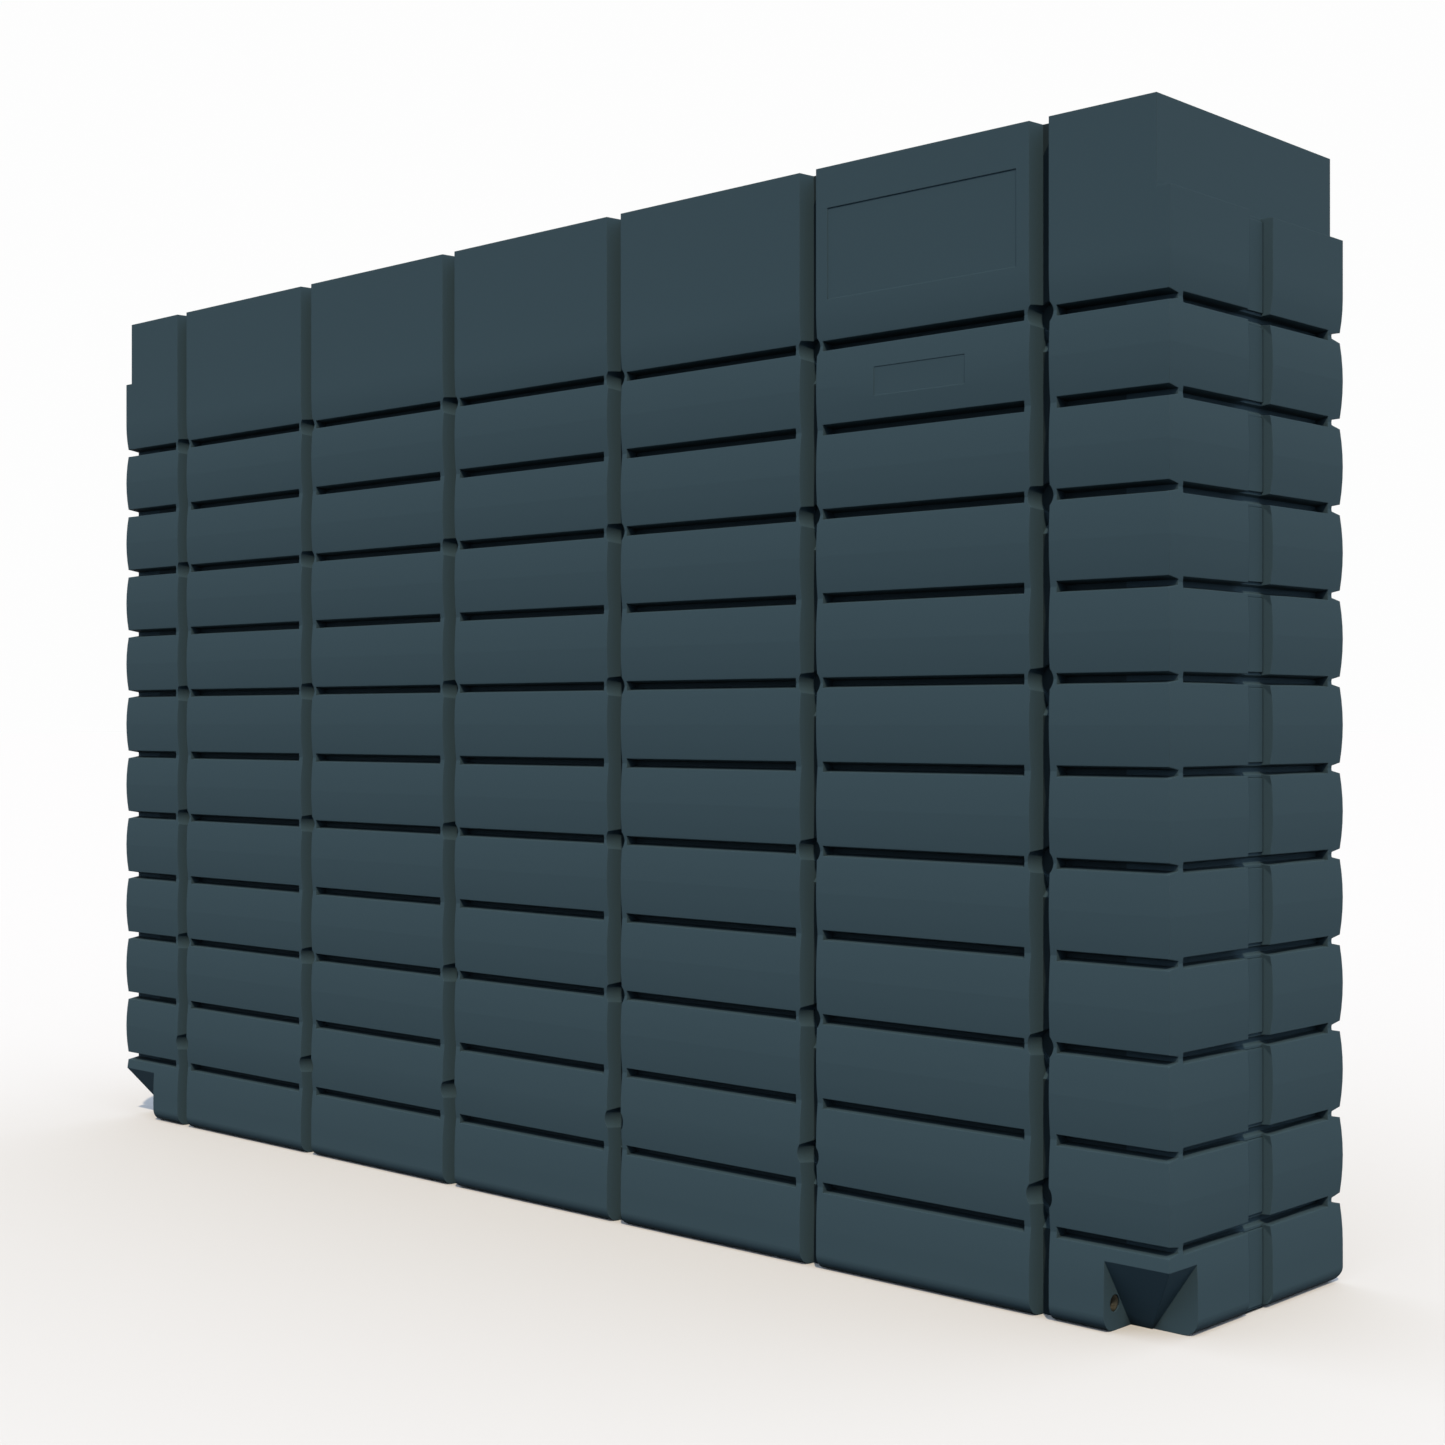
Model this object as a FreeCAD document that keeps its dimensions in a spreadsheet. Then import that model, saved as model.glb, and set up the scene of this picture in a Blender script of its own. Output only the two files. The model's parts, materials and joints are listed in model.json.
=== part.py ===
import FreeCAD, Part

import math
import os

import Sketcher

# A slimline rain water tank: one rotationally moulded shell, three metres long and just over half a
# metre deep, with an inlet strainer let into its top, a screened overflow in the end recess and a
# threaded brass outlet in each bottom corner notch.
# Frame: X along the tank, Y from the front face to the back, Z up, origin under the middle of the base.

DOC = FreeCAD.newDocument("slimline_tank")
SHEET = DOC.addObject("Spreadsheet::Sheet", "sizes")

SIZES = {
    # Shell
    "tank_length": 3000,
    "tank_width": 564,
    "tank_height": 1968,
    "wall": 6,
    "base_radius": 27,
    # Rows between the slits, each bowed outwards
    "row_pitch": 150,
    "row_bow": 5,
    # Slits that run along every face
    "slit_count": 11,
    "lowest_slit": 144.5,
    "slit_mouth": 20,
    "slit_floor": 9,
    "slit_depth": 32,
    "slit_post": 12.5,
    "end_slit_depth": 28,
    "end_slit_margin": 45.6,
    # Upright channels in the two long faces
    "channel_count": 6,
    "channel_pitch": 501,
    "channel_mouth": 39,
    "channel_floor": 32,
    "channel_depth": 35,
    # Round pockets that stiffen the channels, with a wedge shaped dip under each
    "pocket_radius": 25.5,
    "pocket_depth": 46,
    "pocket_count": 5,
    "lowest_pocket": 199,
    "dip_depth": 49.5,
    "dip_top": 17,
    "dip_middle": 41,
    "dip_bottom": 59,
    # Upright channel in each end
    "end_channel_mouth": 74,
    "end_channel_floor": 66,
    "end_channel_depth": 12,
    # Step at the top of each end
    "recess_depth": 24.4,
    "recess_height": 147,
    # Notch at each front bottom corner
    "notch_along": 122,
    "notch_across": 83,
    "notch_rise": 117,
    "notch_slope_in": 79,
    "notch_slope_along": 82,
    # Plain frames pressed into the front, in the bay beside the last channel
    "frame_line": 3,
    "frame_line_depth": 1.5,
    "large_frame_length": 409,
    "large_frame_height": 162,
    "large_frame_above_slit": 168.5,
    "small_frame_length": 197,
    "small_frame_height": 50,
    "small_frame_below_slit": 69.5,
    # Inlet in the top
    "inlet_radius": 200,
    "seat_radius": 222,
    "seat_depth": 20,
    # Strainer that hangs in the inlet
    "strainer_clearance": 2,
    "strainer_drop": 90,
    "strainer_wall": 4,
    "flange_thickness": 10,
    "ledge_width": 22,
    "mesh_thickness": 1.2,
    "ring_thickness": 4,
    "ring_margin": 2,
    "spoke_count": 8,
    "spoke_width": 8,
    "spoke_depth": 14,
    "hub_radius": 26,
    "strainer_screw_count": 8,
    # Guard under the strainer that keeps light and insects out
    "guard_drop": 34,
    "guard_sheet": 3,
    "guard_flange": 14,
    "guard_slot_count": 20,
    "guard_slot_width": 14,
    # Screws
    "screw_radius": 2.1,
    "screw_clearance": 0.2,
    "screw_head_radius": 4.6,
    "screw_head": 2.8,
    "screw_tip": 4,
    # Overflow in the recess at the left end
    "overflow_radius": 45,
    "overflow_clearance": 0.5,
    "overflow_height": 1892,
    "overflow_sheet": 3,
    "overflow_step": 3,
    "overflow_reach_in": 30,
    "overflow_lip": 14,
    "overflow_flange_radius": 64,
    "overflow_flange": 5,
    "gasket": 2,
    "gasket_margin": 2,
    "overflow_screw_count": 6,
    "overflow_screw_circle": 55,
    "screen_ring_width": 4,
    "screen_ring": 3,
    # Brass outlet moulded into the side wall of each notch
    "outlet_bore": 12.06,
    "outlet_skin_bore": 13.6,
    "outlet_skin": 3,
    "outlet_from_front": 32,
    "outlet_height": 43,
    "insert_half_flats": 17,
    "insert_collar": 8,
    "insert_neck": 15.2,
    "insert_length": 24,
    "outlet_boss": 24,
    # Flush plug that closes the spare outlet
    "plug_head": 13.2,
    "plug_length": 14,
    "plug_socket_half_flats": 6,
    "plug_socket_depth": 8,
    "thread_clearance": 0.15,
    # How far cutting shapes stand outside what they cut
    "overrun": 60,
}

X_AXIS = "X_Axis"
Z_AXIS = "Z_Axis"
ACROSS = "YZ_Plane"
ALONG = "XZ_Plane"
LEVEL = "XY_Plane"


def fill_sheet():
    """Writes each driving size in a cell of its own, named by its alias."""
    for row, (name, number) in enumerate(SIZES.items(), start=1):
        SHEET.set(f"A{row}", name)
        SHEET.set(f"B{row}", str(number))
        SHEET.setAlias(f"B{row}", name)
    DOC.recompute()


def value(expression):
    """The number that an expression in the sheet's names gives now."""
    result = PROBE.evalExpression(expression)
    return float(getattr(result, "Value", result))


def count(name):
    return int(round(value(f"sizes.{name}")))


def origin_part(body, role):
    for feature in body.Origin.OriginFeatures:
        if feature.Role == role:
            return feature
    raise ValueError(role)


def new_body(name, place=None):
    """An empty body, moved to a place given by three expressions where there is one."""
    body = DOC.addObject("PartDesign::Body", name)
    for axis, distance in zip("xyz", place or ()):
        body.setExpression(f"Placement.Base.{axis}", distance)
    return body


def outline(body, name, plane, corners, lift="0", arcs=None):
    """A closed sketch through corners, each a pair of expressions.

    arcs gives, for the edge that leaves a corner, its centre and radius as three expressions.
    """
    arcs = arcs or {}
    sketch = body.newObject("Sketcher::SketchObject", name)
    sketch.AttachmentSupport = (origin_part(body, plane), [""])
    sketch.MapMode = "FlatFace"
    sketch.setExpression("AttachmentOffset.Base.z", lift)
    points = [FreeCAD.Vector(value(across), value(up), 0) for across, up in corners]
    ends = []
    for index, start in enumerate(points):
        stop = points[(index + 1) % len(points)]
        if index in arcs:
            centre = FreeCAD.Vector(value(arcs[index][0]), value(arcs[index][1]), 0)
            forward = (start - centre).cross(stop - centre).z > 0
            first, last = (start, stop) if forward else (stop, start)
            begin = math.atan2(first.y - centre.y, first.x - centre.x)
            turn = (first - centre).getAngle(last - centre)
            round_edge = Part.Circle(centre, FreeCAD.Vector(0, 0, 1), value(arcs[index][2]))
            sketch.addGeometry(Part.ArcOfCircle(round_edge, begin, begin + turn))
            ends.append((1, 2) if forward else (2, 1))
        else:
            sketch.addGeometry(Part.LineSegment(start, stop))
            ends.append((1, 2))
    for index in range(len(points)):
        following = (index + 1) % len(points)
        join = Sketcher.Constraint("Coincident", index, ends[index][1], following, ends[following][0])
        sketch.addConstraint(join)
    for index, (across, up) in enumerate(corners):
        at_start = ends[index][0]
        pin(sketch, "DistanceX", index, at_start, points[index].x, f"across_{index}", across)
        pin(sketch, "DistanceY", index, at_start, points[index].y, f"up_{index}", up)
    for index, (_, _, radius) in arcs.items():
        place = sketch.addConstraint(Sketcher.Constraint("Radius", index, value(radius)))
        sketch.renameConstraint(place, f"radius_{index}")
        sketch.setExpression(f"Constraints.radius_{index}", radius)
    return sketch


def pin(sketch, kind, edge, end, now, name, expression):
    """Holds one end of an edge at a distance from the sketch's origin."""
    place = sketch.addConstraint(Sketcher.Constraint(kind, -1, 1, edge, end, now))
    sketch.renameConstraint(place, name)
    sketch.setExpression(f"Constraints.{name}", expression)


def rectangle(body, name, plane, left, right, low, high, lift="0"):
    corners = [(left, low), (right, low), (right, high), (left, high)]
    return outline(body, name, plane, corners, lift)


def circle(body, name, plane, across, up, radius, lift="0"):
    """A sketch of one circle, its centre and radius given by expressions."""
    sketch = body.newObject("Sketcher::SketchObject", name)
    sketch.AttachmentSupport = (origin_part(body, plane), [""])
    sketch.MapMode = "FlatFace"
    sketch.setExpression("AttachmentOffset.Base.z", lift)
    centre = FreeCAD.Vector(value(across), value(up), 0)
    sketch.addGeometry(Part.Circle(centre, FreeCAD.Vector(0, 0, 1), value(radius)))
    pin(sketch, "DistanceX", 0, 3, centre.x, "across", across)
    pin(sketch, "DistanceY", 0, 3, centre.y, "up", up)
    place = sketch.addConstraint(Sketcher.Constraint("Radius", 0, value(radius)))
    sketch.renameConstraint(place, "radius")
    sketch.setExpression("Constraints.radius", radius)
    return sketch


def pad(body, name, sketch, length, back=False):
    """Raises a sketch along its plane's normal, or against it when back is true."""
    feature = body.newObject("PartDesign::Pad", name)
    feature.Profile = sketch
    feature.Reversed = back
    feature.setExpression("Length", length)
    return feature


def pocket(body, name, sketch, length, back=False):
    """Cuts a sketch into the body along its plane's normal, or against it when back is true."""
    feature = body.newObject("PartDesign::Pocket", name)
    feature.Profile = sketch
    feature.Reversed = not back
    feature.setExpression("Length", length)
    return feature


def disc(body, name, plane, spot, radius, start, length, back=False):
    """A round pad. spot is its centre on the plane and start its distance from the plane."""
    sketch = circle(body, f"{name}_ring", plane, *spot, radius, start)
    return pad(body, name, sketch, length, back)


def bore(body, name, plane, spot, radius, start, length, back=False):
    """A round cut, placed as a disc is."""
    sketch = circle(body, f"{name}_ring", plane, *spot, radius, start)
    return pocket(body, name, sketch, length, back)


def turned(body, name, corners):
    """A solid turned round the upright axis from an outline of radius and height."""
    feature = body.newObject("PartDesign::Revolution", name)
    feature.Profile = outline(body, f"{name}_section", ALONG, corners)
    feature.ReferenceAxis = (origin_part(body, Z_AXIS), [""])
    feature.Angle = 360
    return feature


def repeat(body, name, original, steps):
    """Copies one feature by a chain of rows and mirrors.

    A row is (axis, spacing, number), each of the last two an expression. A mirror is a plane's name.
    """
    chain = []
    for index, step in enumerate(steps):
        if isinstance(step, str):
            part = DOC.addObject("PartDesign::Mirrored", f"{name}_mirror_{index}")
            part.MirrorPlane = (origin_part(body, step), [""])
        else:
            axis, spacing, number = step
            part = DOC.addObject("PartDesign::LinearPattern", f"{name}_row_{index}")
            part.Direction = (origin_part(body, axis), [""])
            part.setExpression("Length", f"({spacing}) * (({number}) - 1)")
            part.setExpression("Occurrences", number)
        body.addObject(part)
        chain.append(part)
    pattern = body.newObject("PartDesign::MultiTransform", name)
    pattern.Originals = [original]
    pattern.Transformations = chain
    body.Tip = pattern
    return pattern


def ring_of(body, name, originals, number, axis=Z_AXIS):
    """Copies features evenly round an axis of the body."""
    pattern = body.newObject("PartDesign::PolarPattern", name)
    pattern.Originals = originals
    pattern.Axis = (origin_part(body, axis), [""])
    pattern.Angle = 360
    pattern.setExpression("Occurrences", number)
    body.Tip = pattern
    return pattern


def cut(name, base, tool):
    feature = DOC.addObject("Part::Cut", name)
    feature.Base = base
    feature.Tool = tool
    feature.Refine = False
    return feature


def fuse(name, pieces):
    feature = DOC.addObject("Part::MultiFuse", name)
    feature.Shapes = pieces
    feature.Refine = False
    return feature


def group(name, pieces):
    """Holds pieces that don't touch one another, so that one cut takes them all."""
    feature = DOC.addObject("Part::Compound", name)
    feature.Links = pieces
    return feature


# Expressions that several pieces share. Some forms are drawn twice, once for the outside of the moulding
# and once, grown inwards by the wall, for its hollow.
HALF_LENGTH = "sizes.tank_length / 2"
HALF_WIDTH = "sizes.tank_width / 2"
FIRST_CHANNEL = "-sizes.channel_pitch * (sizes.channel_count - 1) / 2"
TOP_SLIT = "(sizes.lowest_slit + sizes.row_pitch * (sizes.slit_count - 1))"
LOWEST_PAIRED = f"({TOP_SLIT} - 2 * sizes.row_pitch * (sizes.pocket_count - 1))"
SEAT_LEVEL = "(sizes.tank_height - sizes.seat_depth)"
LEDGE_UNDER = f"({SEAT_LEVEL} - sizes.strainer_drop)"
MESH_LEVEL = f"({LEDGE_UNDER} + sizes.strainer_wall)"
RING_TOP = f"({MESH_LEVEL} + sizes.mesh_thickness + sizes.ring_thickness)"
BASKET_RADIUS = "(sizes.inlet_radius - sizes.strainer_clearance)"
LEDGE_OUTER = f"({BASKET_RADIUS} - sizes.strainer_wall)"
LEDGE_INNER = f"({LEDGE_OUTER} - sizes.ledge_width)"
SCREW_CIRCLE = f"({LEDGE_OUTER} - sizes.ledge_width / 2)"
GUARD_INNER = f"({SCREW_CIRCLE} - sizes.guard_flange / 2)"
RECESS_FACE = f"({HALF_LENGTH} - sizes.recess_depth)"
OVERFLOW_PLACE = (f"-{RECESS_FACE}", "0", "sizes.overflow_height")
OVERFLOW_BORE = "(sizes.overflow_radius - sizes.overflow_sheet)"
LOOSE_HOLE = "(sizes.screw_radius + sizes.screw_clearance)"
OUTLET_ACROSS = f"(sizes.outlet_from_front - {HALF_WIDTH})"
OUTLET_WALL = f"({HALF_LENGTH} - sizes.notch_along)"
BOW_RADIUS = "((sizes.row_pitch / 2) ^ 2 + sizes.row_bow ^ 2) / (2 * sizes.row_bow)"
ROWS_UP = (Z_AXIS, "sizes.row_pitch", "sizes.slit_count")
CHANNELS_ALONG = (X_AXIS, "sizes.channel_pitch", "sizes.channel_count")


def blank(prefix, inset, bottom):
    """The plain block that a form is cut from."""
    body = new_body(f"{prefix}_blank")
    sketch = rectangle(
        body,
        f"{prefix}_plan",
        LEVEL,
        f"-({HALF_LENGTH}) + {inset}",
        f"{HALF_LENGTH} - {inset}",
        f"-({HALF_WIDTH}) + {inset}",
        f"{HALF_WIDTH} - {inset}",
        bottom,
    )
    pad(body, f"{prefix}_block", sketch, f"sizes.tank_height - 2 * {bottom}")
    return body


def notches(prefix, grow):
    """Two wedges that meet in each bottom corner of the front, one sloping back and one along."""
    body = new_body(f"{prefix}_notches")
    rise = "sizes.notch_rise"
    spread = f"(1 + {grow} * sqrt(1 / {{run}} ^ 2 + 1 / {rise} ^ 2))"
    run = "sizes.notch_slope_in"
    scale = spread.format(run=run)
    face = f"-({HALF_WIDTH})"
    back_wedge = [
        (f"{face} - {run} * {scale}", f"2 * {rise} * {scale}"),
        (f"{face} - {run} * {scale}", f"-{rise} * {scale}"),
        (f"{face} + 2 * {run} * {scale}", f"-{rise} * {scale}"),
    ]
    start = f"{HALF_LENGTH} - sizes.notch_along - {grow}"
    sketch = outline(body, f"{prefix}_back_slope", ACROSS, back_wedge, start)
    wedge = pad(body, f"{prefix}_back_wedge", sketch, f"sizes.notch_along + {grow} + sizes.overrun")
    repeat(body, f"{prefix}_back_wedges", wedge, [ACROSS])
    run = "sizes.notch_slope_along"
    scale = spread.format(run=run)
    along_wedge = [
        (f"{HALF_LENGTH} + {run} * {scale}", f"2 * {rise} * {scale}"),
        (f"{HALF_LENGTH} + {run} * {scale}", f"-{rise} * {scale}"),
        (f"{HALF_LENGTH} - 2 * {run} * {scale}", f"-{rise} * {scale}"),
    ]
    start = f"{HALF_WIDTH} + sizes.overrun"
    sketch = outline(body, f"{prefix}_end_slope", ALONG, along_wedge, start)
    depth = f"sizes.notch_across + {grow} + sizes.overrun"
    wedge = pad(body, f"{prefix}_end_wedge", sketch, depth, back=True)
    repeat(body, f"{prefix}_end_wedges", wedge, [ACROSS])
    return body


def valleys():
    """Takes the outside off between two crowns, leaving every row bowed like a barrel stave."""
    half = "sizes.row_pitch / 2"
    middle = "sizes.lowest_slit"

    def profile(face):
        outside = f"{face} + sizes.overrun"
        corners = [
            (outside, f"{middle} - {half}"),
            (outside, f"{middle} + {half}"),
            (face, f"{middle} + {half}"),
            (f"{face} - sizes.row_bow", middle),
            (face, f"{middle} - {half}"),
        ]
        centre = f"{face} - {BOW_RADIUS}"
        arcs = {
            2: (centre, f"{middle} + {half}", BOW_RADIUS),
            3: (centre, f"{middle} - {half}", BOW_RADIUS),
        }
        return corners, arcs

    long_faces = new_body("long_valleys")
    corners, arcs = profile(HALF_WIDTH)
    start = f"-({HALF_LENGTH}) - sizes.overrun"
    sketch = outline(long_faces, "long_valley_profile", ACROSS, corners, start, arcs)
    valley = pad(long_faces, "long_valley", sketch, "sizes.tank_length + 2 * sizes.overrun")
    repeat(long_faces, "long_valley_rows", valley, [ROWS_UP, ALONG])

    ends = new_body("end_valleys")
    corners, arcs = profile(HALF_LENGTH)
    start = f"-({HALF_WIDTH}) - sizes.overrun"
    sketch = outline(ends, "end_valley_profile", ALONG, corners, start, arcs)
    valley = pad(ends, "end_valley", sketch, "sizes.tank_width + 2 * sizes.overrun")
    repeat(ends, "end_valley_rows", valley, [ROWS_UP, ACROSS])
    return long_faces, ends


def channels():
    """The upright channels of the long faces, with sides that lean a little for draft."""
    body = new_body("channels")
    mouth = "sizes.channel_mouth / 2"
    floor = "sizes.channel_floor / 2"
    depth = "sizes.channel_depth"
    face = f"-({HALF_WIDTH})"
    corners = [
        (f"{FIRST_CHANNEL} - (2 * {mouth} - {floor})", f"{face} - {depth}"),
        (f"{FIRST_CHANNEL} + (2 * {mouth} - {floor})", f"{face} - {depth}"),
        (f"{FIRST_CHANNEL} + {floor}", f"{face} + {depth}"),
        (f"{FIRST_CHANNEL} - {floor}", f"{face} + {depth}"),
    ]
    sketch = outline(body, "channel_plan", LEVEL, corners, "-sizes.overrun")
    channel = pad(body, "channel", sketch, "sizes.tank_height + 2 * sizes.overrun")
    repeat(body, "channel_row", channel, [CHANNELS_ALONG, ALONG])
    return body


def end_channels(prefix, grow):
    """One wide shallow channel up the middle of each end, as far as the step."""
    body = new_body(f"{prefix}_end_channels")
    mouth = f"(sizes.end_channel_mouth / 2 + {grow})"
    floor = f"(sizes.end_channel_floor / 2 + {grow})"
    depth = f"(sizes.end_channel_depth + {grow})"
    corners = [
        (f"{HALF_LENGTH} + {depth}", f"-(2 * {mouth} - {floor})"),
        (f"{HALF_LENGTH} + {depth}", f"2 * {mouth} - {floor}"),
        (f"{HALF_LENGTH} - {depth}", floor),
        (f"{HALF_LENGTH} - {depth}", f"-{floor}"),
    ]
    sketch = outline(body, f"{prefix}_end_channel_plan", LEVEL, corners, "-sizes.overrun")
    rise = "sizes.tank_height - sizes.recess_height / 2 + sizes.overrun"
    channel = pad(body, f"{prefix}_end_channel", sketch, rise)
    repeat(body, f"{prefix}_end_channel_pair", channel, [ACROSS])
    return body


def recesses(prefix, grow):
    """The step across the top of each end."""
    body = new_body(f"{prefix}_recesses")
    sketch = rectangle(
        body,
        f"{prefix}_recess_side",
        ALONG,
        f"{HALF_LENGTH} - sizes.recess_depth - {grow}",
        f"{HALF_LENGTH} + sizes.overrun",
        f"sizes.tank_height - sizes.recess_height - {grow}",
        "sizes.tank_height + sizes.overrun",
        f"-({HALF_WIDTH}) - sizes.overrun",
    )
    step = pad(body, f"{prefix}_recess", sketch, "sizes.tank_width + 2 * sizes.overrun")
    repeat(body, f"{prefix}_recess_pair", step, [ACROSS])
    return body


def slit_section(plane, face, depth, grow):
    """The cross section of a slit in one face, narrowing towards its floor."""
    mouth = f"(sizes.slit_mouth / 2 + {grow})"
    floor = f"(sizes.slit_floor / 2 + {grow})"
    middle = "sizes.lowest_slit"
    corners = [
        (f"{face} + {depth}", f"{middle} - (2 * {mouth} - {floor})"),
        (f"{face} + {depth}", f"{middle} + (2 * {mouth} - {floor})"),
        (f"{face} - {depth}", f"{middle} + {floor}"),
        (f"{face} - {depth}", f"{middle} - {floor}"),
    ]
    return plane, corners


def slit(body, name, section, start, length, steps):
    """A slit or band of one cross section from start along its face, with its copies."""
    plane, corners = section
    sketch = outline(body, f"{name}_section", plane, corners, start)
    groove = pad(body, name, sketch, length)
    repeat(body, f"{name}_rows", groove, steps)


def long_slits():
    """The slits of the long faces. They stop short of each channel and run out at the tank's corners."""
    body = new_body("long_slits")
    section = slit_section(ACROSS, HALF_WIDTH, "sizes.slit_depth", "0")
    clear = "(sizes.channel_mouth / 2 + sizes.slit_post)"
    length = f"sizes.channel_pitch - 2 * {clear}"
    bays = (X_AXIS, "sizes.channel_pitch", "sizes.channel_count - 1")
    slit(body, "bay_slit", section, f"{FIRST_CHANNEL} + {clear}", length, [bays, ROWS_UP, ALONG])
    start = f"-({FIRST_CHANNEL}) + {clear}"
    length = f"{HALF_LENGTH} + sizes.overrun - ({start})"
    slit(body, "corner_slit", section, start, length, [ROWS_UP, ALONG, ACROSS])
    return body


def end_slits():
    """The slits across the ends, each parted from the long ones by a post at the corner."""
    body = new_body("end_slits")
    section = slit_section(ALONG, HALF_LENGTH, "sizes.end_slit_depth", "0")
    reach = f"({HALF_WIDTH} - sizes.end_slit_margin)"
    slit(body, "end_slit", section, f"-{reach}", f"2 * {reach}", [ROWS_UP, ACROSS])
    return body


def slit_bands():
    """The hollow's share of the slits: the plastic behind them runs unbroken round the tank."""
    grow = "sizes.wall"
    long_bands = new_body("long_bands")
    section = slit_section(ACROSS, HALF_WIDTH, f"(sizes.slit_depth + {grow})", grow)
    reach = f"({HALF_LENGTH} + sizes.overrun)"
    slit(long_bands, "long_band", section, f"-{reach}", f"2 * {reach}", [ROWS_UP, ALONG])
    end_bands = new_body("end_bands")
    section = slit_section(ALONG, HALF_LENGTH, f"(sizes.end_slit_depth + {grow})", grow)
    reach = f"({HALF_WIDTH} + sizes.overrun)"
    slit(end_bands, "end_band", section, f"-{reach}", f"2 * {reach}", [ROWS_UP, ACROSS])
    return long_bands, end_bands


def pocket_levels():
    """Where the pockets of one channel stand, and how each kind repeats up the channel."""
    along = [CHANNELS_ALONG, ALONG]
    paired = (Z_AXIS, "2 * sizes.row_pitch", "sizes.pocket_count")
    return {"upper": (LOWEST_PAIRED, [paired] + along), "lower": ("sizes.lowest_pocket", along)}


def pockets():
    """Round pockets in the channel floors, at every second slit and once more low down."""
    body = new_body("pockets")
    for name, (level, steps) in pocket_levels().items():
        ring = f"{name}_pocket_ring"
        sketch = circle(body, ring, ALONG, FIRST_CHANNEL, level, "sizes.pocket_radius", HALF_WIDTH)
        hole = pad(body, f"{name}_pocket", sketch, "sizes.pocket_depth", back=True)
        repeat(body, f"{name}_pockets", hole, steps)
    return body


def dips():
    """The wedge shaped dip in the channel floor under each pocket."""
    body = new_body("dips")
    face = f"-({HALF_WIDTH})"
    for name, (level, steps) in pocket_levels().items():
        dip = [
            (f"{face} + sizes.channel_depth / 2", f"{level} - sizes.dip_top"),
            (f"{face} + sizes.channel_depth", f"{level} - sizes.dip_top"),
            (f"{face} + sizes.dip_depth", f"{level} - sizes.dip_middle"),
            (f"{face} + sizes.channel_depth", f"{level} - sizes.dip_bottom"),
            (f"{face} + sizes.channel_depth / 2", f"{level} - sizes.dip_bottom"),
        ]
        start = f"{FIRST_CHANNEL} - sizes.channel_floor / 2"
        sketch = outline(body, f"{name}_dip_side", ACROSS, dip, start)
        wedge = pad(body, f"{name}_dip", sketch, "sizes.channel_floor")
        repeat(body, f"{name}_dips", wedge, steps)
    return body


def pillars():
    """The hollow's share of the channels: plastic thick enough to back the pockets and their dips."""
    body = new_body("pillars")
    half = "(sizes.pocket_radius + sizes.wall)"
    left = f"{FIRST_CHANNEL} - {half}"
    right = f"{FIRST_CHANNEL} + {half}"
    face = f"-({HALF_WIDTH})"
    depth = f"{face} + sizes.dip_depth + sizes.wall"
    sketch = rectangle(body, "pillar_plan", LEVEL, left, right, face, depth)
    pillar = pad(body, "pillar", sketch, "sizes.tank_height")
    repeat(body, "pillar_rows", pillar, [CHANNELS_ALONG, ALONG])
    return body


def frames():
    """Two plain rectangles drawn as a thin groove in the front of the bay beside the last channel."""
    body = new_body("frame_lines")
    middle = "sizes.channel_pitch * (sizes.channel_count / 2 - 1)"
    levels = {
        "large_frame": f"{TOP_SLIT} + sizes.large_frame_above_slit",
        "small_frame": f"{TOP_SLIT} - sizes.small_frame_below_slit",
    }
    for name, level in levels.items():
        half_length = f"sizes.{name}_length / 2"
        half_height = f"sizes.{name}_height / 2"
        left = f"{middle} - {half_length}"
        right = f"{middle} + {half_length}"
        low = f"{level} - {half_height}"
        high = f"{level} + {half_height}"
        line = "sizes.frame_line"
        strips = {
            "left": (left, f"{left} + {line}", low, high),
            "right": (f"{right} - {line}", right, low, high),
            "low": (left, right, low, f"{low} + {line}"),
            "high": (left, right, f"{high} - {line}", high),
        }
        for side, edges in strips.items():
            sketch = rectangle(body, f"{name}_{side}_line", ALONG, *edges, HALF_WIDTH)
            pad(body, f"{name}_{side}", sketch, "sizes.frame_line_depth", back=True)
    return body


def inlet_cutter():
    """The round hole in the top, in a shallow well that the strainer's flange sits in."""
    body = new_body("inlet_cutter")
    middle = ("0", "0")
    disc(body, "seat", LEVEL, middle, "sizes.seat_radius", SEAT_LEVEL, "sizes.seat_depth + sizes.overrun")
    start = f"{SEAT_LEVEL} - sizes.wall - sizes.overrun"
    disc(body, "inlet", LEVEL, middle, "sizes.inlet_radius", start, "sizes.wall + 2 * sizes.overrun")
    return body


def overflow_cutter():
    """The hole for the overflow, and those its screws cut, in the left step."""
    body = new_body("overflow_cutter", OVERFLOW_PLACE)
    length = "sizes.wall + 2 * sizes.overrun"
    radius = "sizes.overflow_radius + sizes.overflow_clearance"
    disc(body, "overflow_hole", ACROSS, ("0", "0"), radius, "-sizes.overrun", length)
    spot = ("0", "sizes.overflow_screw_circle")
    hole = disc(body, "wall_screw_hole", ACROSS, spot, "sizes.screw_radius", "-sizes.overrun", length)
    ring_of(body, "wall_screw_holes", [hole], "sizes.overflow_screw_count", X_AXIS)
    return body


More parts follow.
